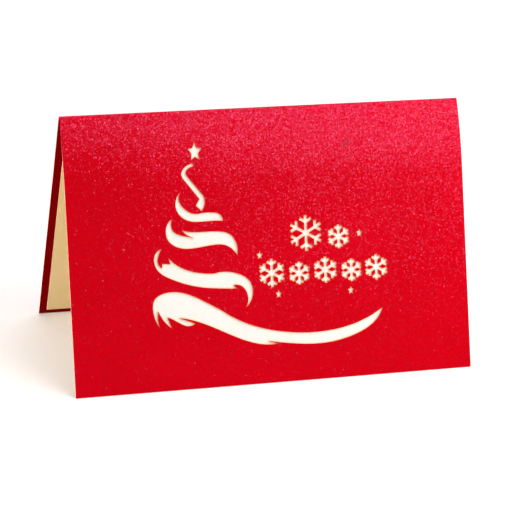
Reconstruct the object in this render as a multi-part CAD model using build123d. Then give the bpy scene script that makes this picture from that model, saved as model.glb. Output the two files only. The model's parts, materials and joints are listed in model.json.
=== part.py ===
from build123d import *
from math import acos, asin, atan, cos, degrees, hypot, radians, sin, tan
import os

# Folded cover sheet, in millimetres and degrees
card_width = 150.0
panel_height = 100.0  # crease to foot, the same on both panels
cover_thickness = 0.4
front_lean = 20.0  # flat run of the front panel, measured from upright
crease_lean = 32.0  # front panel where it leaves the crease
bow_length = 25.0  # stretch of the front panel that curves between the two leans

# Liner sheet, glued face to face inside the cover
liner_thickness = 0.25
liner_side_margin = 3.0
liner_foot_margin = 2.1
liner_crease_radius = 0.1  # inside the liner's own fold

# Laser-cut ornament on the front panel, which grows and shrinks with the panel
drawn_height = 100.0  # panel height that the ornament's points and sizes are drawn for
drawing_right = 0.3  # place of the whole drawing on the panel
drawing_up = 0.25
star_radius = 3.65
small_star_radius = 1.7
star_waist = 0.48  # inner radius of a star as a share of its outer radius
star_slimness = 0.74  # width of a star as a share of a regular star's
flake_stroke = 1.1
flake_branch_at = 0.62  # where a side branch leaves its arm, as a share of the arm
flake_branch = 0.38  # length of a side branch, as a share of the arm

# Pop-up tree of slotted slices between the panels
slice_thickness = 0.25
slice_spacing = 13.0
open_angle = 45.0  # slices to the crease when the card lies open
tree_height = 54.0
outer_height = 36.0
outer_overhang = 7.0  # of an outer slice past its last crossing
corner_slope = 45.0  # foot corner of an outer slice, cut back where it faces a panel
tree_tiers = 3
tier_ratio = 0.5  # width of a tier as a share of the tier below it
notch_share = 0.6  # waist between two tiers as a share of the tier above it
slot_clearance = 0.04
panel_clearance = 1.0  # pulled back from the liner, along a slice's foot
lug_start = 3.0  # up the sloped corner
lug_length = 5.0
lug_root = 1.0  # into the slice
lug_reach = 4.0  # out of the slice, before it is trimmed flush with the liner's back
slit_clearance = 0.08

# The crease stacks the liner inside the cover, so one radius follows from the other
crease_radius = liner_crease_radius + liner_thickness
bow_turn = crease_lean - front_lean
bow_radius = bow_length / radians(bow_turn)
front_run = panel_height - bow_length


def polar(radius, angle):
    return Vector(radius * cos(radians(angle)), radius * sin(radians(angle)))


# The section is drawn as (depth, height) on the face where cover and liner meet.
# Its outward direction turns from the back panel over the crease to the front panel.
crease_side = 180 - crease_lean
front_side = 180 - front_lean
bow_centre = polar(crease_radius - bow_radius, crease_side)
front_foot = bow_centre + polar(bow_radius, front_side) + polar(front_run, front_side + 90)
# The back panel leans just enough for both feet to stand level
back_side = degrees(
    acos(-front_foot.Y / hypot(panel_height, crease_radius)) - atan(crease_radius / panel_height)
)
back_foot = polar(crease_radius, back_side) + polar(panel_height, back_side - 90)
front_edge = front_foot + polar(cover_thickness, front_side)
back_edge = back_foot + polar(cover_thickness, back_side)
crease = Vector(-(front_edge.X + back_edge.X) / 2, -front_foot.Y)


def back_at(distance, offset):
    """Point of the back panel this far below the crease, offset outwards."""
    return crease + polar(crease_radius + offset, back_side) + polar(distance, back_side - 90)


def front_at(distance, offset):
    """Point of the front panel this far below the crease, offset outwards."""
    turned = crease_side + bow_turn * min(distance / bow_length, 1)
    point = crease + bow_centre + polar(bow_radius + offset, turned)
    return point + polar(max(distance - bow_length, 0), front_side + 90)


def rail(offset, height):
    """Edges of the folded section at one offset, from the back foot to the front foot."""
    crown = crease + polar(crease_radius + offset, (back_side + crease_side) / 2)
    back_top = back_at(0, offset)
    front_top = front_at(0, offset)
    flat_top = front_at(bow_length, offset)
    return [
        Line(back_at(height, offset), back_top),
        ThreePointArc(back_top, crown, front_top),
        ThreePointArc(front_top, front_at(bow_length / 2, offset), flat_top),
        Line(flat_top, front_at(height, offset)),
    ]


def folded_sheet(inner, outer, width, height):
    """One sheet folded over the crease, between two offsets of the section."""
    feet = [
        Line(back_at(height, inner), back_at(height, outer)),
        Line(front_at(height, inner), front_at(height, outer)),
    ]
    section = make_face(rail(inner, height) + rail(outer, height) + feet)
    return extrude(Plane.YZ * section, width / 2, both=True)


# Ornament points are (across, below the crease) on the unrolled front panel
def cut_outline(*edges):
    """Closed shape from edges given as point lists: two points a line, more a curve."""
    shape = []
    for edge in edges:
        points = [(across, -below) for across, below in edge]
        shape.append(Line(*points) if len(points) == 2 else Spline(*points))
    return make_face(shape)


def star(across, below, radius):
    points = []
    for corner in range(10):
        reach = radius if corner % 2 == 0 else radius * star_waist
        point = polar(reach, 90 + 36 * corner)
        points.append(Vector(across + star_slimness * point.X, point.Y - below))
    return make_face(Polyline(*points, close=True))


def snowflake(across, below, radius):
    at_foot = (Align.CENTER, Align.MIN)
    arm = Rectangle(flake_stroke, radius, align=at_foot)
    for lean in (-60, 60):
        branch = Rectangle(flake_stroke, radius * flake_branch, align=at_foot)
        arm += Pos(0, radius * flake_branch_at) * Rot(0, 0, lean) * branch
    flake = Sketch() + [Rot(0, 0, 60 * turn) * arm for turn in range(6)]
    return Pos(across, -below) * flake


def tree_top_curl():
    return cut_outline(
        [(-27.8, 19.7), (-28.2, 18.8)],
        [(-28.2, 18.8), (-30.6, 19.7), (-32.4, 21.7), (-32.2, 24.0)],
        [(-32.2, 24.0), (-26.3, 31.8)],
        [(-26.3, 31.8), (-27.8, 34.1)],
        [(-27.8, 34.1), (-26.6, 35.2)],
        [(-26.6, 35.2), (-25.9, 36.2)],
        [(-25.9, 36.2), (-24.8, 34.6), (-24.4, 32.6), (-24.7, 30.9)],
        [(-24.7, 30.9), (-30.7, 23.1)],
        [(-30.7, 23.1), (-30.8, 21.5), (-29.5, 20.4), (-27.8, 19.7)],
    )


def upper_ribbon():
    return cut_outline(
        [(-33.4, 29.0), (-35.1, 31.8), (-35.0, 35.4), (-31.8, 39.0), (-26.5, 40.0), (-18.0, 40.2)],
        [(-18.0, 40.2), (-18.8, 38.0), (-21.5, 36.9), (-26.0, 36.9)],
        [(-26.0, 36.9), (-29.6, 36.7), (-31.8, 35.3), (-33.8, 32.5), (-33.4, 29.0)],
    )


def middle_ribbon():
    return cut_outline(
        [(-36.7, 38.3), (-39.1, 41.3), (-38.8, 45.8), (-34.5, 49.0), (-28.0, 49.3), (-21.5, 48.6)],
        [(-21.5, 48.6), (-16.6, 49.4), (-13.3, 52.8)],
        [(-13.3, 52.8), (-13.4, 48.6), (-15.6, 45.2), (-19.5, 43.9), (-26.0, 43.7), (-33.5, 42.6)],
        [(-33.5, 42.6), (-32.0, 44.2), (-29.2, 45.7)],
        [(-29.2, 45.7), (-33.8, 44.5), (-37.0, 42.3), (-37.3, 40.2), (-36.7, 38.3)],
    )


def lower_ribbon():
    return cut_outline(
        [(-41.1, 48.8), (-44.2, 52.2), (-43.2, 56.4), (-38.5, 59.9), (-28.0, 63.5), (-14.0, 65.0)],
        [(-14.0, 65.0), (-15.2, 63.6)],
        [(-15.2, 63.6), (-11.2, 65.1), (-10.0, 68.2), (-11.0, 72.0)],
        [(-11.0, 72.0), (-8.2, 67.6), (-8.9, 62.9), (-13.5, 59.5), (-22.0, 59.0)],
        [(-22.0, 59.0), (-30.0, 57.9), (-35.4, 55.5), (-39.2, 52.0)],
        [(-39.2, 52.0), (-38.2, 54.6)],
        [(-38.2, 54.6), (-41.3, 54.3)],
        [(-41.3, 54.3), (-41.4, 55.9)],
        [(-41.4, 55.9), (-42.9, 53.8), (-42.5, 51.2), (-41.1, 48.8)],
    )


def sweeping_tail():
    return cut_outline(
        [(-43.3, 77.3), (-45.3, 72.5), (-44.6, 66.9), (-39.5, 64.7), (-32.0, 66.0), (-20.0, 72.6)],
        [(-20.0, 72.6), (-9.0, 78.7), (3.0, 81.9), (18.0, 82.8), (30.0, 80.8), (41.2, 75.5)],
        [(41.2, 75.5), (38.2, 80.2), (30.0, 84.8), (18.0, 87.1), (6.0, 86.4), (-3.2, 84.9)],
        [(-3.2, 84.9), (0.6, 86.1)],
        [(0.6, 86.1), (-5.0, 86.0), (-16.0, 82.2), (-26.0, 77.3), (-36.0, 74.2)],
        [(-36.0, 74.2), (-30.2, 76.6)],
        [(-30.2, 76.6), (-32.4, 77.4), (-36.4, 75.8), (-40.4, 73.7)],
        [(-40.4, 73.7), (-38.8, 77.9)],
        [(-38.8, 77.9), (-41.4, 75.3), (-43.6, 71.3)],
        [(-43.6, 71.3), (-43.9, 74.4), (-43.3, 77.3)],
    )


def ornament():
    """All shapes cut through the front panel."""
    ribbons = [tree_top_curl(), upper_ribbon(), middle_ribbon(), lower_ribbon(), sweeping_tail()]
    small_stars = ((-4.9, 53.5), (1.6, 68.1), (29.2, 68.5), (33.4, 47.6))
    stars = [star(*place, small_star_radius) for place in small_stars]
    stars.append(star(-27.1, 14.75, star_radius))
    upper_flakes = [(13.0, 46.4, 6.6), (25.4, 48.4, 4.4)]
    lower_flakes = [(-0.6, 60.2, 5.2), (9.8, 60.9, 4.2), (19.8, 60.3, 4.8)]
    lower_flakes += [(29.8, 61.0, 4.2), (39.4, 60.5, 4.7)]
    flakes = [snowflake(*place) for place in upper_flakes + lower_flakes]
    return Sketch() + ribbons + stars + flakes


def cover():
    sheet = folded_sheet(0, cover_thickness, card_width, panel_height)
    flat_top = front_at(bow_length, 0) - polar(bow_length, front_side + 90)
    out = polar(1, front_side)
    panel = Plane((0, flat_top.X, flat_top.Y), x_dir=(1, 0, 0), z_dir=(0, out.X, out.Y))
    bow_depth = bow_radius * (1 - cos(radians(bow_turn)))
    drawing = scale(ornament(), panel_height / drawn_height)
    cut = panel * (Pos(drawing_right, drawing_up) * drawing)
    return sheet - extrude(cut, bow_depth + 2 * cover_thickness, both=True)


# Slices of two families cross at the points of a sheared lattice. Its outermost crossings
# lie on the liner, as far below the crease as the lattice reaches when the card lies open.
seat_distance = 2 * slice_spacing * sin(radians(open_angle))
front_seat = front_at(seat_distance, -liner_thickness)
back_seat = back_at(seat_distance, -liner_thickness)
seat_span = back_seat - front_seat
family_angle = degrees(asin(seat_span.length / (4 * slice_spacing)))
across_card = seat_span.normalized()
tree_base = (front_seat + back_seat) * 0.5
crossing_angle = 2 * radians(family_angle)
slot_width = slice_thickness * (1 + cos(crossing_angle)) / sin(crossing_angle) + 2 * slot_clearance
inner_half_width = 2 * (slice_spacing - panel_clearance)
outer_half_width = slice_spacing + outer_overhang
outer_foot = slice_spacing - panel_clearance


def family_direction(family):
    """Direction of a family's slices: along the crease, turned towards one panel."""
    turned = polar(1, family * family_angle)
    return Vector(turned.X, across_card.X * turned.Y, across_card.Y * turned.Y)


def slice_plane(family, place):
    """Plane of one slice, its own Y pointing from the crease to the open side."""
    along = family_direction(family)
    origin = Vector(0, tree_base.X, tree_base.Y) + family_direction(-family) * (place * slice_spacing)
    away = Vector(0, across_card.Y, -across_card.X)
    return Plane(origin, x_dir=along, z_dir=along.cross(away))


def slice_size(place):
    """Half width, height and half width at the foot of the slice at this place."""
    if place == 0:
        return inner_half_width, tree_height, inner_half_width
    return outer_half_width, outer_height, outer_foot


def skirt(place):
    """Both ends of the slope of a slice's widest tier."""
    half_width, height, foot = slice_size(place)
    waist = notch_share * half_width * tier_ratio
    lift = (half_width - foot) * tan(radians(corner_slope))
    return Vector(half_width, lift), Vector(waist, height / tree_tiers)


def tree_outline(place):
    half_width, height, foot = slice_size(place)
    side = [Vector(foot, 0)]
    if half_width > foot:
        side.append(skirt(place)[0])
    for tier in range(1, tree_tiers):
        tier_half_width = half_width * tier_ratio**tier
        side.append(Vector(notch_share * tier_half_width, tier * height / tree_tiers))
        side.append(Vector(tier_half_width, tier * height / tree_tiers))
    other_side = [Vector(-point.X, point.Y) for point in reversed(side)]
    return make_face(Polyline(*side, (0, height), *other_side, close=True))


def top_at(place, across):
    """Height of a slice above its foot at a crossing, up to the first notch."""
    if across == 0:
        return slice_size(place)[1]
    low, high = skirt(place)
    return low.Y + (high.Y - low.Y) * (low.X - abs(across) * slice_spacing) / (low.X - high.X)


def slot(family, place, crossing):
    """Slot of a slice where it takes a slice of the other family, half the shared height each."""
    middle = min(top_at(place, crossing), top_at(crossing, place)) / 2
    length = tree_height if family > 0 else middle
    at_edge = (Align.CENTER, Align.MIN if family > 0 else Align.MAX)
    return Pos(crossing * slice_spacing, middle) * Rectangle(slot_width, 2 * length, align=at_edge)


def lug(place, grow):
    """Glue lug on the sloped corner of an outer slice, at the end that meets a panel."""
    at_root = (Align.CENTER, Align.MAX)
    shape = Pos(0, lug_root) * Rectangle(lug_length + 2 * grow, lug_root + lug_reach, align=at_root)
    middle = Vector(outer_foot, 0) + polar(lug_start + lug_length / 2, corner_slope)
    seated = Pos(middle.X, middle.Y) * Rot(0, 0, corner_slope) * shape
    return seated if place < 0 else mirror(seated, Plane.YZ)


def plate(family, place, shape, thickness):
    return extrude(slice_plane(family, place) * shape, thickness / 2, both=True)


def tree_slice(family, place, outside):
    shape = tree_outline(place)
    if place != 0:
        shape += lug(place, 0)
    for crossing in (-1, 0, 1):
        shape -= slot(family, place, crossing)
    return plate(family, place, shape, slice_thickness) - outside


def liner():
    width = card_width - 2 * liner_side_margin
    sheet = folded_sheet(-liner_thickness, 0, width, panel_height - liner_foot_margin)
    for family in (-1, 1):
        for place in (-1, 1):
            sheet -= plate(family, place, lug(place, slit_clearance), slice_thickness + 2 * slit_clearance)
    return sheet


os.makedirs("parts", exist_ok=True)
export_step(cover(), "parts/cover.step")
export_step(liner(), "parts/liner.step")
outside_liner = folded_sheet(0, 2 * lug_reach, card_width, panel_height)
for family, letter in ((1, "a"), (-1, "b")):
    for place, seat in ((-family, "back"), (0, "middle"), (family, "front")):
        export_step(tree_slice(family, place, outside_liner), f"parts/tree_slice_{letter}_{seat}.step")
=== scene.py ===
import json
from math import cos, radians, sin

import bpy
from mathutils import Matrix, Vector


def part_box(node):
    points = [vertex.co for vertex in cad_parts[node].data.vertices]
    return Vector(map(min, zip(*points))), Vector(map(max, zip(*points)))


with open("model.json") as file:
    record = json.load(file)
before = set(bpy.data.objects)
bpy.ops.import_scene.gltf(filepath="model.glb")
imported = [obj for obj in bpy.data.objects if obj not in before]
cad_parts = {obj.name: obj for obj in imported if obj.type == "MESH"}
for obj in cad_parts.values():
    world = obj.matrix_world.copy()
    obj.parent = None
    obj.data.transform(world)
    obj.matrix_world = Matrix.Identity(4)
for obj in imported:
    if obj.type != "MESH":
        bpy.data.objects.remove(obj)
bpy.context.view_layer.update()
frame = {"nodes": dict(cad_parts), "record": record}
print("card loaded,", len(frame["nodes"]), "pieces")


class Wire:  # a shader socket that can stand in an expression
    def __init__(self, tree, socket=None):
        self.tree = tree
        self.socket = socket

    def add(self, kind, settings, values, out=0):  # settings first, then socket values and links
        node = self.tree.nodes.new(kind)
        for name, setting in settings.items():
            setattr(node, name, setting)
        for name, value in values.items():
            if isinstance(value, Wire):
                self.tree.links.new(value.socket, node.inputs[name])
            else:
                node.inputs[name].default_value = value
        return Wire(self.tree, node.outputs[out] if node.outputs else None)

    def maths(self, operation, *terms):
        return self.add("ShaderNodeMath", {"operation": operation}, dict(enumerate(terms)))

    def __add__(self, other):
        return self.maths("ADD", self, other)

    def __radd__(self, other):
        return self.maths("ADD", other, self)

    def __sub__(self, other):
        return self.maths("SUBTRACT", self, other)

    def __rsub__(self, other):
        return self.maths("SUBTRACT", other, self)

    def __mul__(self, other):
        return self.maths("MULTIPLY", self, other)

    def __rmul__(self, other):
        return self.maths("MULTIPLY", other, self)

    def larger(self, other):
        return self.maths("MAXIMUM", self, other)

    def size(self):  # a value without its sign
        return self.maths("ABSOLUTE", self)

    def vector(self, operation, values, out=0):
        return self.add("ShaderNodeVectorMath", {"operation": operation}, {0: self, **values}, out)

    def plus(self, other):
        return self.vector("ADD", {1: other})

    def minus(self, other):
        return self.vector("SUBTRACT", {1: other})

    def dot(self, other):
        return self.vector("DOT_PRODUCT", {1: other}, "Value")

    def stretch(self, share):  # a vector made longer or shorter
        return self.vector("SCALE", {"Scale": share})

    def unit(self):  # a vector of length 1
        return self.vector("NORMALIZE", {})

    def unsigned(self):  # a vector with each part without its sign
        return self.vector("ABSOLUTE", {})

    def rise(self, low, high):  # 0 below low, 1 above high
        limits = {"Value": self, "From Min": low, "From Max": high}
        return self.add("ShaderNodeMapRange", {"interpolation_type": "SMOOTHSTEP"}, limits)

    def mix(self, first, second):  # two colours, with this value as the share of the second
        return self.add("ShaderNodeMix", {"data_type": "RGBA"}, {0: self, 6: first, 7: second}, 2)


def emptyTree(owner):  # of a material or the world
    owner.use_nodes = True
    owner.node_tree.nodes.clear()
    return Wire(owner.node_tree)


def newMaterial(name):
    material = bpy.data.materials.new(name)
    return material, emptyTree(material)


def close(tree, surface):  # the end of every material
    tree.add("ShaderNodeOutputMaterial", {}, {"Surface": surface})


def objectPlace(tree):
    return tree.add("ShaderNodeTexCoord", {}, {}, "Object")


def geometry(tree, out):
    return tree.add("ShaderNodeNewGeometry", {}, {}, out)


def noise(tree, place, grain, detail=2.0):  # grain is the size of one blotch in metres
    values = {"Vector": place, "Scale": 1 / grain, "Detail": detail}
    return tree.add("ShaderNodeTexNoise", {}, values, "Fac")


def cells(tree, place, room, out):  # random flakes, each in a room of that size in metres
    return tree.add("ShaderNodeTexVoronoi", {}, {"Vector": place, "Scale": 1 / room}, out)


paper = {  # what the sheets have in common
    "fibreDetail": 3.0,
    "fibreDepth": 0.00004,
    "fibreSize": 0.0004,  # this and the rest only on the liner and the slices
    "fibreRelief": 0.3,
    "fibreRoughness": 0.1,  # what the fibres add
    "cloudDetail": 4.0,
    "specular": 0.1,
}


def relief(tree, height, strength):
    bump = {"Strength": strength, "Distance": paper["fibreDepth"], "Height": height}
    return tree.add("ShaderNodeBump", {}, bump)


def mottling(tree, place, fibre, values):  # clouds and fibres together
    cloud = noise(tree, place, values["cloudSize"], paper["cloudDetail"])
    both = cloud * values["cloudShare"] + fibre * (1 - values["cloudShare"])
    return both.rise(*values["mottleContrast"]) * values["mottleShare"]


def paperShader(tree, colour, fibre, roughness):
    shader = {
        "Base Color": colour,
        "Roughness": fibre * paper["fibreRoughness"] + roughness,
        "Specular IOR Level": paper["specular"],
        "Normal": relief(tree, fibre, paper["fibreRelief"]),
    }
    return tree.add("ShaderNodeBsdfPrincipled", {}, shader)


cover = {
    "red": (0.67, 0.0002, 0.0068, 1),
    "deepRed": (0.64, 0.0002, 0.0055, 1),
    "redCloud": 0.03,  # size of the patches where it is deeper
    "redContrast": (0.35, 0.65),
    "insideRed": (0.23, 0.001, 0.002, 1),  # the sheet's uncoated side without flakes, written darker than the front red as painted shade inside the fold
    "cardRoughness": 0.75,
    "cardGrain": 0.00035,
    "cardRelief": 0.12,
    "frontLean": 20.0,
    "sameWay": (0.84, 0.88),  # how well a face has to line up with a panel to be a side of it
    "endOn": (0.4, 0.6),  # keeps the two ends of the fold, which are cut edges, apart from it
    "creaseDepth": 0.00127,  # down from the top, where the sheet bends round
    "creaseBlur": 0.0002,
    "core": (0.94, 0.47, 0.34, 1),  # pale board that shows at cut edges
    "scorch": (0.86, 0.48, 0.27, 1),  # where the laser browned it
    "scorchCloud": 0.0012,
    "scorchContrast": (0.3, 0.7),
    "sideDepth": 0.0008,  # in from the two ends, where the edges aren't browned
    "sideBlur": 0.0004,
    "paleHeight": 0.064,  # from here up to the fold, those edges turn red
    "spot": (0.36, 0.04, 0.065, 1),  # rubbed place on the front panel
    "spotStrength": 0.8,
    "spotPlace": (0.0305, -0.0075, 0.0806),
    "spotLean": 25.48,  # of the panel there, which bows
    "spotTurn": 26.68,  # how far it runs to the left of straight down
    "spotLong": 0.0062,
    "spotWide": 0.0030,
    "spotRim": (0.05, 1.0),  # fades from the middle to its outline
    "spotGrain": 0.0007,
    "spotContrast": (0.3, 0.65),
    "spotFacing": (0.5, 0.8),  # keeps it off the other sides of the sheet
    "pearl": (0.60, 0.045, 0.26, 1),  # fine flakes in the coating
    "pearlShare": 0.08,  # of the surface
    "pearlGrain": 0.0003,
    "pearlTilt": 0.16,
    "pearlRoughness": 0.15,
    "sparkle": (0.84, 0.20, 0.33, 1),  # a few larger ones
    "sparkleShare": 0.05,  # of the rooms that hold one
    "faintShare": 0.01,  # of the rooms whose sparkle is faint, among those
    "sparkleRoom": 0.0007,
    "sparkleRim": (0.15, 0.4),  # fades from the middle of its room
    "sparkleStrength": 0.34,
    "sparkleTilt": 0.3,
    "sparkleRoughness": 0.25,
}


def rubbedSpot(tree, place, towardsFront, values):
    lean = radians(values["spotLean"])
    turn = radians(values["spotTurn"])
    right = Vector((1, 0, 0))
    down = Vector((0, -sin(lean), -cos(lean)))
    away = place.minus(values["spotPlace"])
    along = away.dot(down * cos(turn) - right * sin(turn)) * (2 / values["spotLong"])
    across = away.dot(right * cos(turn) + down * sin(turn)) * (2 / values["spotWide"])
    near = 1 - (along * along + across * across).rise(*values["spotRim"])
    patchy = noise(tree, place, values["spotGrain"]).rise(*values["spotContrast"])
    return near * patchy * towardsFront.rise(*values["spotFacing"])


def coatedRed(tree, place, rubbed, values):
    deeper = noise(tree, place, values["redCloud"]).rise(*values["redContrast"])
    fresh = deeper.mix(values["red"], values["deepRed"])
    return (rubbed * values["spotStrength"]).mix(fresh, values["spot"])


def cutEdge(tree, place, height, crease, values):
    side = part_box("cover")[1].x - values["sideDepth"]
    atSide = place.dot((1, 0, 0)).size().rise(side, side + values["sideBlur"])
    burnt = noise(tree, place, values["scorchCloud"]).rise(*values["scorchContrast"]) * (1 - atSide)
    nearFold = height.rise(values["paleHeight"], crease) * atSide
    return nearFold.mix(burnt.mix(values["core"], values["scorch"]), values["insideRed"])


def flakeLayer(tree, place, values):  # flakes that each lie at their own small angle
    grain = cells(tree, place, values["pearlGrain"], "Color")
    room = cells(tree, place, values["sparkleRoom"], "Color")
    reach = cells(tree, place, values["sparkleRoom"], "Distance")
    rare = 1 - values["sparkleShare"]
    held = room.dot((1, 0, 0)).rise(rare, rare + values["faintShare"])
    sparkle = held * (1 - reach.rise(*values["sparkleRim"]))
    middle = (0.5, 0.5, 0.5)  # of the random values
    tilt = grain.minus(middle).stretch(values["pearlTilt"])
    bigTilt = room.minus(middle).stretch(sparkle * values["sparkleTilt"])
    dense = grain.dot((0, 1, 0))
    crowd = dense * dense  # some grains hold more flakes, and the mean is a third
    rougher = values["sparkleRoughness"] - values["pearlRoughness"]
    flake = {
        "Base Color": sparkle.larger(crowd * dense).mix(values["pearl"], values["sparkle"]),
        "Metallic": 1.0,
        "Roughness": sparkle * rougher + values["pearlRoughness"],
        "Normal": geometry(tree, "Normal").plus(tilt).plus(bigTilt).unit(),
    }
    share = sparkle * values["sparkleStrength"] + crowd * (3 * values["pearlShare"])
    return tree.add("ShaderNodeBsdfPrincipled", {}, flake), share


def coverFinish(values):
    material, tree = newMaterial("redPearlCard")
    place = objectPlace(tree)
    facing = geometry(tree, "True Normal")
    height = place.dot((0, 0, 1))

    # which side of the sheet a face is on
    lean = radians(values["frontLean"])
    backWay = next(mount["axis"] for mount in frame["record"]["mounts"] if mount["name"] == "back_face")
    towardsFront = facing.dot((0, -cos(lean), sin(lean)))
    towardsBack = facing.dot(backWay)
    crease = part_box("cover")[1].z - values["creaseDepth"]
    endOn = facing.dot((1, 0, 0)).size().rise(*values["endOn"])
    onCrease = height.rise(crease, crease + values["creaseBlur"]) * (1 - endOn)
    outside = towardsFront.larger(towardsBack).rise(*values["sameWay"]).larger(onCrease)
    inside = (0 - towardsFront).larger(0 - towardsBack).rise(*values["sameWay"]) * (1 - onCrease)

    # matt card, with the flakes of the coating over its outside
    rubbed = rubbedSpot(tree, place, towardsFront, values)
    coated = coatedRed(tree, place, rubbed, values)
    # the inner faces take the dark red of painted shade
    bare = inside.mix(cutEdge(tree, place, height, crease, values), values["insideRed"])
    grain = noise(tree, place, values["cardGrain"], paper["fibreDetail"])
    card = {
        "Base Color": outside.mix(bare, coated),
        "Roughness": values["cardRoughness"],
        "Specular IOR Level": 0.0,
        "Normal": relief(tree, grain, values["cardRelief"]),
    }
    flakes, share = flakeLayer(tree, place, values)
    layers = {
        0: outside * share * (1 - rubbed),
        1: tree.add("ShaderNodeBsdfPrincipled", {}, card),
        2: flakes,
    }
    close(tree, tree.add("ShaderNodeMixShader", {}, layers))
    return material


liner = {
    "outside": (0.95, 0.955, 0.885, 1),  # the side glued to the cover, seen through the cut-outs
    # painted shade: the inside is the same cream, written darker and warmer for the shade and red
    # bounce light inside the fold
    "inside": (0.97, 0.78, 0.42, 1),
    "foldReach": 0.002,  # from the middle of the fold to where a panel starts
    "sideBlur": 0.1,  # cut ends, which face neither way, are between the two
    "paintedEdgeShade": (0.97, 0.62, 0.30, 1),  # painted warm shade, tinted by the red walls' bounce light, on the cream close to the cut-outs' walls
    "paintedShadeReach": 0.001,
    "paintedShadeLimits": (0.06, 0.55),  # how closed in a place is, from no painted shade to painted shade all over
    "paintedShadeSamples": 8,
    "mottle": (0.5, 0.36, 0.18, 1),
    "mottleShare": 0.06,
    "mottleContrast": (0.3, 0.7),
    "cloudSize": 0.012,
    "cloudShare": 0.6,  # against the fibres
    "roughness": 0.8,
}


def linerFinish(values):
    material, tree = newMaterial("creamCard")
    place = objectPlace(tree)
    facing = geometry(tree, "True Normal")
    depth = place.dot((0, 1, 0))
    panel = depth.rise(-values["foldReach"], values["foldReach"]) * 2 - 1  # -1 in front, 1 at the back
    outside = (facing.dot((0, 1, 0)) * panel).rise(-values["sideBlur"], values["sideBlur"])
    # the inside takes the painted-shade colour, the outside the cream itself
    sheet = outside.mix(values["inside"], values["outside"])
    # painted shade: where ambient occlusion finds the cover's cut walls close, the cream turns to the
    # warm shade colour
    samples = {"samples": values["paintedShadeSamples"]}
    clear = tree.add("ShaderNodeAmbientOcclusion", samples, {"Distance": values["paintedShadeReach"]}, "AO")
    paintedShadeShare = (1 - clear).rise(*values["paintedShadeLimits"]) * outside
    fibre = noise(tree, place, paper["fibreSize"], paper["fibreDetail"])
    shade = mottling(tree, place, fibre, values)
    colour = shade.mix(paintedShadeShare.mix(sheet, values["paintedEdgeShade"]), values["mottle"])
    close(tree, paperShader(tree, colour, fibre, values["roughness"]))
    return material


slices = {
    "cream": (0.92, 0.87, 0.74, 1),
    "scorch": (0.60, 0.36, 0.16, 1),  # cut edges that the laser browned
    "sameWay": (0.6, 0.8),  # how well a face has to line up with the sheet to be a side of it
    "mottle": (0.80, 0.70, 0.52, 1),
    "mottleShare": 0.35,
    "mottleContrast": (0.35, 0.75),
    "cloudSize": 0.008,
    "cloudShare": 0.5,  # against the fibres
    "roughness": 0.75,
}


def sliceFinish(values):
    material, tree = newMaterial("treeCard")
    place = objectPlace(tree)
    fibre = noise(tree, place, paper["fibreSize"], paper["fibreDetail"])
    sheet = mottling(tree, place, fibre, values).mix(values["cream"], values["mottle"])
    faces = frame["nodes"]["tree_slice_a_middle"].data.polygons
    flat = max(faces, key=lambda face: face.area).normal  # the same on all slices, but for its signs
    towardsSide = geometry(tree, "True Normal").unsigned().dot([abs(part) for part in flat])
    colour = towardsSide.rise(*values["sameWay"]).mix(values["scorch"], sheet)
    close(tree, paperShader(tree, colour, fibre, values["roughness"]))
    return material


finishes = {"cover": coverFinish(cover), "liner": linerFinish(liner)}
treeCard = sliceFinish(slices)
for name, node in frame["nodes"].items():
    node.material_slots[0].material = finishes.get(name, treeCard)
print("finishes on", len(frame["nodes"]), "pieces")


def ray(tree, kind):
    return tree.add("ShaderNodeLightPath", {}, {}, f"Is {kind} Ray")


def lookedAt(tree):  # straight, in a reflection or through something clear
    return ray(tree, "Camera").larger(ray(tree, "Glossy")).larger(ray(tree, "Transmission"))


floor = {
    "size": 8.0,
    "drop": 0.00005,  # below the card's feet
    "colour": (0.89, 0.87, 0.86, 1),
    "lift": (1.0, 0.98, 0.97, 1),  # glow where it is looked at: the page is white and keeps the shadow
    "liftNear": 0.14,
    "liftFar": 0.65,
    "nearReach": 0.1414,  # from the middle of the card
    "farReach": 0.5,
}


def pageFinish(values):
    material, tree = newMaterial("whitePage")
    place = objectPlace(tree)
    far = place.dot(place).rise(values["nearReach"] ** 2, values["farReach"] ** 2)
    lift = (far * (values["liftFar"] - values["liftNear"]) + values["liftNear"]) * lookedAt(tree)
    matt = tree.add("ShaderNodeBsdfDiffuse", {}, {"Color": values["colour"]})
    glow = tree.add("ShaderNodeEmission", {}, {"Color": lift.mix((0, 0, 0, 1), values["lift"])})
    close(tree, tree.add("ShaderNodeAddShader", {}, {0: matt, 1: glow}))
    return material


def pageFloor(values):
    half = values["size"] / 2
    mesh = bpy.data.meshes.new("pageFloor")
    corners = [(-half, -half, 0), (half, -half, 0), (half, half, 0), (-half, half, 0)]
    mesh.from_pydata(corners, [], [(0, 1, 2, 3)])
    mesh.materials.append(pageFinish(values))
    page = bpy.data.objects.new("pageFloor", mesh)
    page.location.z = -values["drop"]
    bpy.context.scene.collection.objects.link(page)


pageFloor(floor)

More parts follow.
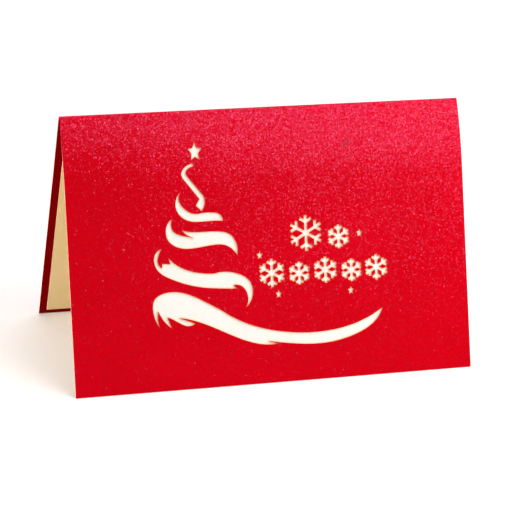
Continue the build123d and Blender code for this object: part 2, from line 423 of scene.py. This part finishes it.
light = {
    "skyStrength": 0.44,
    "darkSide": (0.25, -0.93, 0.27),  # the unlit end of the room, behind the camera
    "darkStrength": 0.1,
    "darkLimits": (0.5, 0.9),  # from its rim to its middle
    "boxes": {  # place, aim, side, power and colour of each soft box
        "keyBox": ((0.31, -0.355, 0.51), (0.0, 0.0, 0.06), 0.56, 2.66, (1, 1, 1)),
        "sideBox": ((0.45, -0.15, 0.16), (0.0, 0.0, 0.045), 0.2, 0.95, (1, 1, 1)),
        "topBox": ((0.10, 0.10, 1.30), (0.0, 0.0, 0.0), 1.0, 6.0, (1, 1, 1)),
        "leftTentFill": ((-0.42, 0.0, 0.045), (0.0, 0.0, 0.04), 0.08, 1.75, (1.0, 0.92, 0.90)),
        "rightTentFill": ((0.42, 0.0, 0.045), (0.0, 0.0, 0.04), 0.08, 0.75, (1.0, 0.92, 0.90)),
    },
}


def softRoom(values):
    world = bpy.data.worlds.new("softRoom")
    bpy.context.scene.world = world
    tree = emptyTree(world)
    way = tree.add("ShaderNodeTexCoord", {}, {}, "Generated")
    unlit = way.dot(values["darkSide"]).rise(*values["darkLimits"]) * (1 - ray(tree, "Camera"))
    level = lookedAt(tree) * (1 - values["skyStrength"]) + values["skyStrength"]
    strength = level * (1 - unlit * (1 - values["darkStrength"]))
    sky = tree.add("ShaderNodeBackground", {}, {"Color": (1, 1, 1, 1), "Strength": strength})
    tree.add("ShaderNodeOutputWorld", {}, {"Surface": sky})


def softBox(name, place, aim, side, power, colour):
    lamp = bpy.data.lights.new(name, "AREA")
    lamp.size = side
    lamp.energy = power
    lamp.color = colour
    box = bpy.data.objects.new(name, lamp)
    box.location = place
    box.rotation_mode = "QUATERNION"
    box.rotation_quaternion = (Vector(aim) - Vector(place)).to_track_quat("-Z", "Y")
    box.visible_camera = False
    bpy.context.scene.collection.objects.link(box)


softRoom(light)
for name, settings in light["boxes"].items():
    softBox(name, *settings)
print("floor and light set")

view = {
    "place": (-0.21439, -0.72826, 0.35319),
    "yaw": 16.429,  # to the right of straight ahead
    "pitch": 22.771,  # below the horizon
    "roll": 2.754,
    "lens": 154.69,
    "sensor": 36.0,
}


def photoCamera(values):
    data = bpy.data.cameras.new("photoCamera")
    data.lens = values["lens"]
    data.sensor_width = values["sensor"]
    camera = bpy.data.objects.new("photoCamera", data)
    turn = Matrix.Rotation(radians(-values["yaw"]), 4, "Z")
    nod = Matrix.Rotation(radians(90 - values["pitch"]), 4, "X")
    lean = Matrix.Rotation(radians(values["roll"]), 4, "Z")
    camera.matrix_world = Matrix.Translation(values["place"]) @ turn @ nod @ lean
    bpy.context.scene.collection.objects.link(camera)
    bpy.context.scene.camera = camera


photoCamera(view)
bpy.context.scene.view_settings.view_transform = "Standard"
print("camera set")
